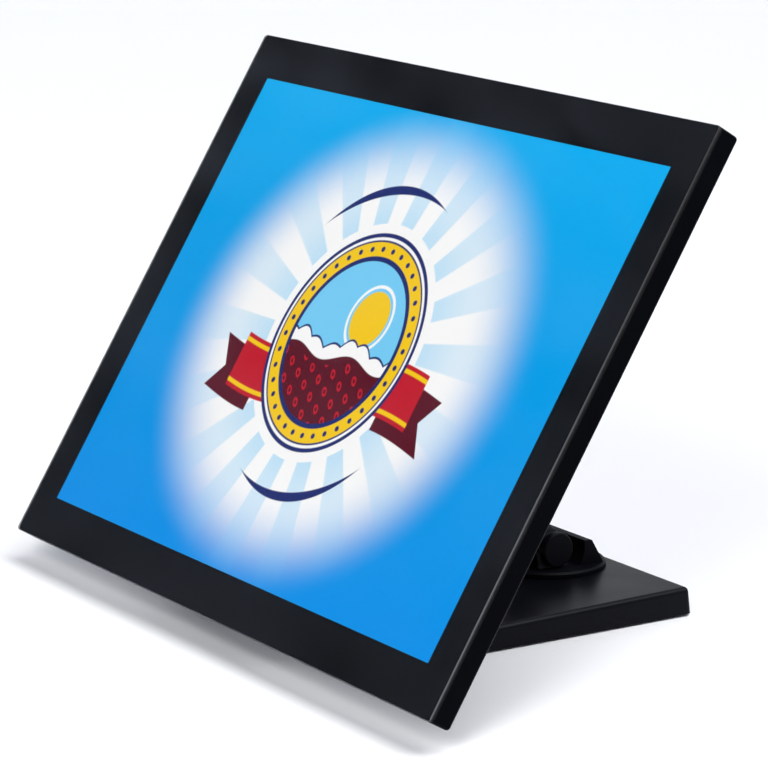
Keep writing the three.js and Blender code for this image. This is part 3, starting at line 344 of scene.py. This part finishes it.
def buildPrint(look):
    material, tree, shader = newMaterial("film_print")
    across, _, up = facePlaces(tree, faceCentre)
    soft = look["inkEdge"]

    def more(value, limit):
        return ramp(tree, value, limit - soft, limit + soft)

    def less(value, limit):
        return ramp(tree, value, limit - soft, limit + soft, 1.0, 0.0)

    def both(*masks):
        whole = masks[0]
        for mask in masks[1:]:
            whole = calc(tree, "MULTIPLY", whole, mask)
        return whole

    def paint(base, colour, mask):
        return blendColour(tree, mask, base, look[colour])

    def ringMask(distance, low, high):
        return both(more(distance, low), less(distance, high))

    # sky that pales into a wide white glow
    height = look["halfHeight"]
    sky = blendColour(tree, ramp(tree, up, -height, height), look["skyBottom"], look["skyTop"])
    glow = length2d(tree, across, calc(tree, "MULTIPLY", up, look["glowRatio"]))
    inGlow = ramp(tree, glow, look["glowOut"], look["glowIn"], shape="SMOOTHERSTEP")
    colour = paint(sky, "white", inGlow)
    # badge's own coordinates
    x = calc(tree, "SUBTRACT", across, look["badgeX"])
    y = calc(tree, "SUBTRACT", up, look["badgeY"])
    away = length2d(tree, x, y)
    angle = calc(tree, "ARCTAN2", y, x)
    # pale rays round the badge
    spokes = ramp(tree, calc(tree, "SINE", calc(tree, "MULTIPLY", angle, look["rays"])),
                  -look["raySoft"], look["raySoft"])
    fade = ramp(tree, away, look["rayOut"], look["rayIn"], 0.0, look["rayShare"])
    colour = paint(colour, "pale", both(spokes, fade, more(away, look["rayIn"])))
    # two thin arcs that taper at their ends
    for start in look["arcStarts"]:
        along = calc(tree, "DIVIDE", calc(tree, "SUBTRACT", angle, start), look["arcSweep"])
        taper = calc(tree, "SINE", calc(tree, "MULTIPLY", ramp(tree, along, 0.0, 1.0), math.pi))
        offset = calc(tree, "ABSOLUTE", calc(tree, "SUBTRACT", away, look["arc"]))
        width = calc(tree, "MULTIPLY", taper, look["arcWidth"])
        colour = paint(colour, "navy", less(calc(tree, "SUBTRACT", offset, width), -soft))
    # ribbon behind the badge: two swallow-tailed ends and a gently waved middle
    turnAlong = calc(tree, "MULTIPLY", across, math.pi / look["ribbonReach"])
    wave = calc(tree, "MULTIPLY", calc(tree, "SINE", turnAlong), look["ribbonWave"])
    band = calc(tree, "SUBTRACT", calc(tree, "SUBTRACT", y, look["ribbonDrop"]), wave)
    side = calc(tree, "ABSOLUTE", across)
    tail = calc(tree, "ABSOLUTE", calc(tree, "ADD", band, look["tailDrop"]))
    fromEdge = calc(tree, "SUBTRACT", look["ribbonHalf"], tail)
    notch = calc(tree, "MULTIPLY_ADD", fromEdge, look["tailNotch"], side)
    inTails = both(less(tail, look["ribbonHalf"]), less(notch, look["ribbonReach"]),
                   more(side, look["tailsFrom"]))
    colour = paint(colour, "maroon", inTails)
    middle = calc(tree, "ABSOLUTE", band)
    inBand = both(less(middle, look["ribbonHalf"]), less(side, look["ribbonMiddle"]))
    colour = paint(colour, "red", inBand)
    lining = ringMask(middle, look["ribbonHalf"] - look["liningIn"], look["ribbonHalf"] - look["liningOut"])
    colour = paint(colour, "yellow", both(inBand, lining))
    # badge: navy rim, white line, yellow ring with navy beads
    badge = look["badge"]
    colour = paint(colour, "navy", less(away, badge))
    colour = paint(colour, "white", ringMask(away, badge - look["rimLineIn"], badge - look["rimLineOut"]))
    colour = paint(colour, "yellow", ringMask(away, badge - look["ringIn"], badge - look["ringOut"]))
    beads = look["beads"]
    inTurn = calc(tree, "FRACT", calc(tree, "MULTIPLY_ADD", angle, beads / math.tau, look["beadShift"]))
    turn = calc(tree, "MULTIPLY", calc(tree, "SUBTRACT", inTurn, 0.5), math.tau / beads)
    beadRing = badge - look["beadsIn"]
    bead = length2d(tree, calc(tree, "MULTIPLY", turn, beadRing), calc(tree, "SUBTRACT", away, beadRing))
    colour = paint(colour, "navy", less(bead, look["beadRadius"]))
    # inside: pale sky, sun, drink with foam and bubbles
    inner = less(away, badge - look["pictureIn"])
    colour = paint(colour, "pale", inner)
    sun = length2d(tree, calc(tree, "SUBTRACT", x, look["sunX"]), calc(tree, "SUBTRACT", y, look["sunY"]))
    colour = paint(colour, "yellow", both(inner, less(sun, look["sunRadius"])))
    colour = paint(colour, "white", both(inner, ringMask(sun, look["haloIn"], look["haloOut"])))
    swell = calc(tree, "MULTIPLY", calc(tree, "SINE", calc(tree, "MULTIPLY", x, look["liquidTurn"])),
                 look["liquid"])
    depth = calc(tree, "SUBTRACT", y, calc(tree, "SUBTRACT", swell, look["liquidTop"]))
    lobes = calc(tree, "ABSOLUTE", calc(tree, "SINE", calc(tree, "MULTIPLY", x, look["foamTurn"])))
    foamy = calc(tree, "SUBTRACT", depth, calc(tree, "MULTIPLY", lobes, look["foam"]))
    colour = paint(colour, "navy", both(inner, less(foamy, look["foamLine"])))
    colour = paint(colour, "white", both(inner, less(foamy, 0.0)))
    colour = paint(colour, "maroon", both(inner, less(depth, look["foamFoot"])))
    cell = look["bubbleGap"]
    cellX, cellY = (
        calc(tree, "SUBTRACT",
             calc(tree, "FRACT", calc(tree, "MULTIPLY_ADD", along, 1 / cell, look["bubbleShift"])), 0.5)
        for along in (x, calc(tree, "MULTIPLY_ADD", x, look["bubbleSlant"], y)))
    bubble = calc(tree, "MULTIPLY", length2d(tree, cellX, cellY), cell)
    rings = ringMask(bubble, look["bubbleIn"], look["bubbleOut"])
    colour = paint(colour, "red", both(inner, less(depth, look["bubblesFrom"]), rings))
    colour = paint(colour, "navy", ringMask(away, badge - look["frameIn"], badge - look["frameOut"]))
    # edge-lit glow: a little brighter along the two lit edges
    lit = ramp(tree, calc(tree, "ABSOLUTE", up), look["litFrom"], height, 1.0, look["litShare"])
    tree.links.new(scaleColour(tree, colour, lit), shader.inputs["Emission Color"])
    shader.inputs["Emission Strength"].default_value = look["strength"]
    shader.inputs["Base Color"].default_value = (0.0, 0.0, 0.0, 1)
    shader.inputs["Roughness"].default_value = look["roughness"]
    shader.inputs["Specular IOR Level"].default_value = look["specular"]
    return material


materials["film_print"] = buildPrint(artwork)

# on and off marks printed on the rocker, and the bright pin in the jack: millimetres from the middle
# of the switch's body and of the jack, with fades as shares of a size
fittings = dict(markPlace=4.5, barHalf=1.5, lineHalf=0.27, ringRadius=1.3, ink=(0.75, 0.75, 0.74, 1),
                lineFade=0.6, endFade=0.94, pinRadius=1.25, pinFade=0.9, brass=(0.78, 0.62, 0.36, 1))


def retouch(material, mask, colour):  # lays a second colour over a finish
    tree = material.node_tree
    shader = tree.nodes["Principled BSDF"]
    under = shader.inputs["Base Color"].links[0].from_socket
    tree.links.new(blendColour(tree, mask, under, colour), shader.inputs["Base Color"])


def buildMarkedRocker(look):
    material = finishMaterial("rocker_marked", finishes["fitting_black"])
    tree = material.node_tree
    _, across, along = facePlaces(tree, middleOf(pointsOf("switch_body")))
    thin = look["lineHalf"]
    thinnest = thin * look["lineFade"]
    barAcross = ramp(tree, calc(tree, "ABSOLUTE", across), thin, thinnest)
    fromBar = calc(tree, "ABSOLUTE", calc(tree, "SUBTRACT", along, look["markPlace"]))
    barAlong = ramp(tree, fromBar, look["barHalf"], look["barHalf"] * look["endFade"])
    away = length2d(tree, across, calc(tree, "ADD", along, look["markPlace"]))
    fromRing = calc(tree, "ABSOLUTE", calc(tree, "SUBTRACT", away, look["ringRadius"]))
    onBar = calc(tree, "MULTIPLY", barAcross, barAlong)
    onRing = ramp(tree, fromRing, thin, thinnest)
    retouch(material, calc(tree, "MAXIMUM", onBar, onRing), look["ink"])
    return material


def buildPinnedJack(look):
    material = finishMaterial("jack_pinned", finishes["fitting_black"])
    tree = material.node_tree
    _, depth, up = facePlaces(tree, middleOf(pointsOf("dc_jack")))
    pin = ramp(tree, length2d(tree, depth, up), look["pinRadius"], look["pinRadius"] * look["pinFade"])
    retouch(material, pin, look["brass"])
    tree.links.new(pin, tree.nodes["Principled BSDF"].inputs["Metallic"])
    return material


def buildGrainedBackPaintedLighter(look):
    # smooth black sides, and a grained back with the compartment on it, painted lighter to lift it out of
    # its shade
    material = finishMaterial("housing_grained", finishes["housing_black"])
    tree = material.node_tree
    shader = tree.nodes["Principled BSDF"]
    _, depth, _ = facePlaces(tree, faceCentre)
    # the back's lighter colour is painted light that lifts it out of its shade; its raised grain is its own
    mask = ramp(tree, depth, look["begins"], look["whole"])
    given = {"Colour": look["colour"], "Smudge Scale": look["smudge"], "Tone Spread": look["toneSpread"],
             "Dust": look["dust"]}
    retouch(material, mask, useGroup(tree, finishGroup, given)["Colour"])
    bump = shader.inputs["Normal"].links[0].from_node
    height = bump.inputs["Height"].links[0].from_socket
    raised = ramp(tree, mask, 0.0, 1.0, 1.0, look["raised"])
    tree.links.new(calc(tree, "MULTIPLY", height, raised), bump.inputs["Height"])
    return material


# the hinge's cover is duller than the base's, and the arm's covers and the box's back are painted lighter,
# a painted fill against their shade
dullCover = dict(finishes["cover_black"], roughness=0.45, specular=0.05)
# the arm covers' lighter colour is painted light that lifts them out of their shade
armCoverPaintedLighter = dict(finishes["cover_black"], colour=(0.009, 0.0094, 0.0105, 1), roughness=0.42, specular=0.25,
                bump=0.15)
grainedBackPaintedLighter = dict(colour=(0.016, 0.0165, 0.018, 1), smudge=7.0, toneSpread=0.12, dust=0.02,
                    begins=13.6, whole=14.6, raised=5.0)
special = {"switch_rocker": buildMarkedRocker(fittings), "dc_jack": buildPinnedJack(fittings),
           "hinge_cover": finishMaterial("cover_dull", dullCover),
           "rear_housing": buildGrainedBackPaintedLighter(grainedBackPaintedLighter)}
special["service_cover"] = special["rear_housing"]
special["arm_front_cover"] = special["arm_rear_cover"] = finishMaterial("cover_arm", armCoverPaintedLighter)
print("finishes made:", len({*materials.values(), *special.values()}))


# finer copies of the visible parts: merged, edges broken, shaded smooth
edging = dict(merge=0.000002, flat=math.radians(0.3), steps=2, crease=math.radians(32),
              wideFaces=100, farOff=math.radians(40))


def selectOnly(piece):
    bpy.ops.object.select_all(action="DESELECT")
    bpy.context.view_layer.objects.active = piece
    piece.select_set(True)


def pieceNameOf(nodeName):  # base_cover becomes baseCover
    first, *others = nodeName.split("_")
    return first + "".join(word.capitalize() for word in others)


def straightenCorners(mesh, limit):  # a face's corner that shades far off its face is set back to it
    shades = [corner.vector.copy() for corner in mesh.corner_normals]
    for face in mesh.polygons:
        for corner in face.loop_indices:
            if face.normal.length and shades[corner].angle(face.normal, 0.0) > limit:
                shades[corner] = face.normal.copy()
    mesh.normals_split_custom_set(shades)


def edgedCopy(nodeName, width, look):
    source = nodes[nodeName]
    piece = bpy.data.objects.new(pieceNameOf(nodeName), source.data.copy())
    bpy.context.scene.collection.objects.link(piece)
    selectOnly(piece)
    bpy.ops.object.mode_set(mode="EDIT")
    bpy.ops.mesh.select_all(action="SELECT")
    bpy.ops.mesh.remove_doubles(threshold=look["merge"])
    bpy.ops.mesh.dissolve_limited(angle_limit=look["flat"])
    bpy.ops.object.mode_set(mode="OBJECT")
    rounding = piece.modifiers.new("edge", "BEVEL")
    rounding.width = width
    rounding.segments = look["steps"]
    rounding.limit_method = "ANGLE"
    rounding.angle_limit = look["crease"]
    bpy.ops.object.modifier_apply(modifier=rounding.name)
    bpy.ops.object.shade_smooth_by_angle(angle=look["crease"])
    # keeps wide faces flat beside their broken edges
    evenShade = piece.modifiers.new("evenShade", "WEIGHTED_NORMAL")
    evenShade.weight = look["wideFaces"]
    evenShade.keep_sharp = True
    bpy.ops.object.modifier_apply(modifier=evenShade.name)
    straightenCorners(piece.data, look["farOff"])
    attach(piece, source["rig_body"])
    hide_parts(nodeName)
    return piece


slotOf = {part["node"]: part["material_slot"] for part in frame["record"]["subparts"]}

edges = {  # broken edge of each visible part, in metres
    "base_cover": 0.0004, "hinge_cover": 0.00025, "arm_front_cover": 0.0003, "arm_rear_cover": 0.0003,
    "rear_housing": 0.0002, "service_cover": 0.00025, "head_bracket": 0.0003, "base_hinge_bracket": 0.0003,
    "bottom_plate": 0.0002, "dc_jack": 0.0002, "switch_body": 0.00025, "switch_rocker": 0.0003,
    "base_cap_right": 0.00015, "base_cap_left": 0.00015, "head_cap_right": 0.00015,
    "head_cap_left": 0.00015, "front_pane": 0.00015,
}
for nodeName, width in edges.items():
    piece = edgedCopy(nodeName, width, edging)
    piece.data.materials.clear()
    piece.data.materials.append(special.get(nodeName, materials[slotOf[nodeName]]))
print("edges broken on", len(edges), "parts")

# pan-head screws with a cross recess: one of each size is modelled, the others are its copies
screwSizes = {
    "head_bracket_screw": dict(head=0.0038, height=0.0024, shank=0.002, length=0.0065, axis=backward),
    "service_cover_screw": dict(head=0.0026, height=0.0015, shank=0.0013, length=0.008, axis=backward),
    "bottom_plate_screw": dict(head=0.003, height=0.0012, shank=0.0015, length=0.009,
                               axis=Vector((0, 0, -1))),
}
# crown and rimFrom are shares of the head's height, and underside is the most Z a normal has down there
screwHead = dict(sides=32, crown=0.55, crownSteps=5, crease=math.radians(32), rimFrom=0.99, underside=-0.9)
recess = dict(reach=0.62, slot=0.2, depth=0.62, taper=0.55)  # shares of the head's radius and height
quarterTurns = (0.35, 1.1, 0.05, 0.8)  # how far round each of four screws stopped, in quarter turns


def recessBlade(look, turn):
    # one arm of the cross: a block whose foot is drawn in
    bpy.ops.object.select_all(action="DESELECT")
    deep = look["height"] * recess["depth"]
    bpy.ops.mesh.primitive_cube_add(size=1.0, location=(0, 0, look["height"]), rotation=(0, 0, turn))
    blade = bpy.context.active_object
    blade.scale = (2 * recess["reach"] * look["head"], recess["slot"] * look["head"] * 2, 2 * deep)
    bpy.ops.object.transform_apply(location=True, rotation=True, scale=True)
    for corner in blade.data.vertices:
        if corner.co.z < look["height"]:
            corner.co.x *= recess["taper"]
            corner.co.y *= recess["taper"]
    return blade


def modelScrew(look):
    bpy.ops.object.select_all(action="DESELECT")
    bpy.ops.mesh.primitive_cylinder_add(vertices=screwHead["sides"], radius=look["head"],
                                        depth=look["height"], location=(0, 0, look["height"] / 2))
    screw = bpy.context.active_object
    bpy.ops.object.transform_apply(location=True, rotation=False, scale=False)
    bpy.ops.object.mode_set(mode="EDIT")
    bpy.ops.mesh.select_all(action="DESELECT")
    bpy.ops.object.mode_set(mode="OBJECT")
    for face in screw.data.polygons:
        face.select = face.normal.z < screwHead["underside"]
    bpy.ops.object.mode_set(mode="EDIT")
    bpy.ops.mesh.inset(thickness=look["head"] - look["shank"])
    bpy.ops.mesh.extrude_region_move(TRANSFORM_OT_translate={"value": (0, 0, -look["length"])})
    bpy.ops.mesh.select_all(action="DESELECT")
    bpy.ops.object.mode_set(mode="OBJECT")
    for edge in screw.data.edges:
        ends = [screw.data.vertices[i].co for i in edge.vertices]
        edge.select = all(end.z > look["height"] * screwHead["rimFrom"] for end in ends)
    bpy.ops.object.mode_set(mode="EDIT")
    bpy.ops.mesh.bevel(offset=look["height"] * screwHead["crown"], segments=screwHead["crownSteps"],
                       affect="EDGES")
    bpy.ops.object.mode_set(mode="OBJECT")
    for turn in (0.0, math.pi / 2):
        blade = recessBlade(look, turn)
        selectOnly(screw)
        cross = screw.modifiers.new("recess", "BOOLEAN")
        cross.operation = "DIFFERENCE"
        cross.object = blade
        bpy.ops.object.modifier_apply(modifier=cross.name)
        bpy.data.objects.remove(blade, do_unlink=True)
    bpy.ops.object.shade_smooth_by_angle(angle=screwHead["crease"])
    return screw


def headOf(nodeName, look):  # middle of the CAD screw's head, on its underside
    return middleOf(furthest(pointsOf(nodeName), look["axis"])) - look["height"] * look["axis"]


madeScrews = 0
for family, look in screwSizes.items():
    pattern = modelScrew(look)
    members = sorted(name for name in nodes if name.startswith(family))
    for nodeName, share in zip(members, quarterTurns):
        copy = bpy.data.objects.new(pieceNameOf(nodeName), pattern.data.copy())
        bpy.context.scene.collection.objects.link(copy)
        spin = Matrix.Rotation(share * math.pi / 2, 4, "Z")
        aim = look["axis"].to_track_quat("Z", "Y").to_matrix().to_4x4()
        copy.data.transform(Matrix.Translation(headOf(nodeName, look)) @ aim @ spin)
        copy.data.materials.clear()
        copy.data.materials.append(materials["steel_plain"])
        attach(copy, nodes[nodeName]["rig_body"])
        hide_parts(nodeName)
        madeScrews += 1
    bpy.data.objects.remove(pattern, do_unlink=True)
print("screws with a cross recess:", madeScrews)

# the CAD's own pieces, which show where nothing replaces them
for nodeName, part in nodes.items():
    part.data.materials.clear()
    part.data.materials.append(materials[slotOf[nodeName]])

# camera, floor and light
view = dict(azimuth=57.427, elevation=12.365, lens=171.09, sensor=36.0, reach=200.0,
            place=(1.70691, -1.10814, 0.58544))
cameraData = bpy.data.cameras.new("camera")
cameraData.lens = view["lens"]
cameraData.sensor_fit = "HORIZONTAL"
cameraData.sensor_width = view["sensor"]
cameraData.clip_end = view["reach"]
camera = bpy.data.objects.new("camera", cameraData)
camera.location = view["place"]
camera.rotation_euler = (math.radians(90 - view["elevation"]), 0, math.radians(view["azimuth"]))
bpy.context.scene.collection.objects.link(camera)
bpy.context.scene.camera = camera


def buildCounter(look):
    bpy.ops.object.select_all(action="DESELECT")
    bpy.ops.mesh.primitive_plane_add(size=look["size"])
    made = bpy.context.active_object
    made.name = "counter"
    material, tree, shader = newMaterial("counter_pale")
    place = addNode(tree, "ShaderNodeTexCoord").outputs["Object"]
    wear = addNode(tree, "ShaderNodeTexNoise", {"Vector": place, "Scale": look["wearScale"]}).outputs["Fac"]
    rough = ramp(tree, wear, look["wearLow"], look["wearHigh"], look["smoothest"], look["roughest"])
    tree.links.new(rough, shader.inputs["Roughness"])
    shader.inputs["Base Color"].default_value = look["colour"]
    shader.inputs["Specular IOR Level"].default_value = look["specular"]
    made.data.materials.append(material)
    return made


counter = dict(size=60.0, colour=(0.9, 0.9, 0.9, 1), specular=0.1, wearScale=3.0, wearLow=0.3, wearHigh=0.7,
               smoothest=0.55, roughest=0.62)
buildCounter(counter)

studio = dict(
    front=0.064, frontTint=(0.84, 0.97, 1.3, 1), back=0.6, backTint=(0.9, 0.96, 1.13, 1),
    levelFrom=-0.5, levelTo=0.5, tintFrom=-0.4, tintTo=0.0,
    clouds=0.9, cloudScale=50.0, cloudDetail=4.0, cloudRoughness=0.55, cloudWarp=0.6,
    cloudLow=0.41, cloudHigh=0.59,
    wall=(0.93, 0.935, 0.945, 1), wallPlace=(-0.84, 0.52, 0.15), wallFrom=0.76, wallFull=0.95,
    wallShare=0.55)


def buildStudio(look):
    # soft surroundings: dim in front of the display, with faint clouds, and a pale wall behind it
    world = bpy.data.worlds.new("studio")
    world.use_nodes = True
    tree = world.node_tree
    surround = tree.nodes["Background"]
    aim = addNode(tree, "ShaderNodeTexCoord").outputs["Generated"]
    _, depth, _ = addNode(tree, "ShaderNodeSeparateXYZ", {0: aim}).outputs
    level = ramp(tree, depth, look["levelFrom"], look["levelTo"], look["front"], look["back"], "SMOOTHSTEP")
    tint = blendColour(tree, ramp(tree, depth, look["tintFrom"], look["tintTo"]),
                       look["frontTint"], look["backTint"])
    cloud = addNode(tree, "ShaderNodeTexNoise",
                    {"Vector": aim, "Scale": look["cloudScale"], "Detail": look["cloudDetail"],
                     "Roughness": look["cloudRoughness"], "Distortion": look["cloudWarp"]}).outputs["Fac"]
    patches = ramp(tree, cloud, look["cloudLow"], look["cloudHigh"], 1 - look["clouds"], 1 + look["clouds"])
    tree.links.new(scaleColour(tree, tint, calc(tree, "MULTIPLY", level, patches)), surround.inputs[0])
    wall = addNode(tree, "ShaderNodeBackground", {0: look["wall"]})
    facing = addNode(tree, "ShaderNodeVectorMath", {0: aim, 1: look["wallPlace"]}, operation="DOT_PRODUCT")
    onWall = ramp(tree, facing.outputs["Value"], look["wallFrom"], look["wallFull"], 0.0, look["wallShare"],
                  "SMOOTHSTEP")
    path = addNode(tree, "ShaderNodeLightPath").outputs
    bent = calc(tree, "MAXIMUM", path["Is Glossy Ray"], path["Is Transmission Ray"])
    seen = calc(tree, "MAXIMUM", path["Is Camera Ray"], calc(tree, "MULTIPLY", bent, onWall))
    mixed = addNode(tree, "ShaderNodeMixShader", {0: seen, 1: surround.outputs[0], 2: wall.outputs[0]})
    tree.links.new(mixed.outputs[0], tree.nodes["World Output"].inputs[0])
    return world


bpy.context.scene.world = buildStudio(studio)

softKey = dict(energy=2.7, spread=50.0, turn=(28.0, 0.0, 120.0))
frontFill = dict(energy=60.0, size=1.0, place=(1.7, -2.0, 1.7), turn=(59.0, 0.0, 40.7))


def hangLamp(name, kind, look):
    lamp = bpy.data.lights.new(name, kind)
    lamp.energy = look["energy"]
    hung = bpy.data.objects.new(name, lamp)
    hung.rotation_euler = [math.radians(turn) for turn in look["turn"]]
    bpy.context.scene.collection.objects.link(hung)
    return hung


hangLamp("softKey", "SUN", softKey).data.angle = math.radians(softKey["spread"])
fill = hangLamp("frontFill", "AREA", frontFill)
fill.data.size = frontFill["size"]
fill.location = frontFill["place"]
bpy.context.scene.view_settings.view_transform = "Standard"
print("camera, floor and light placed")
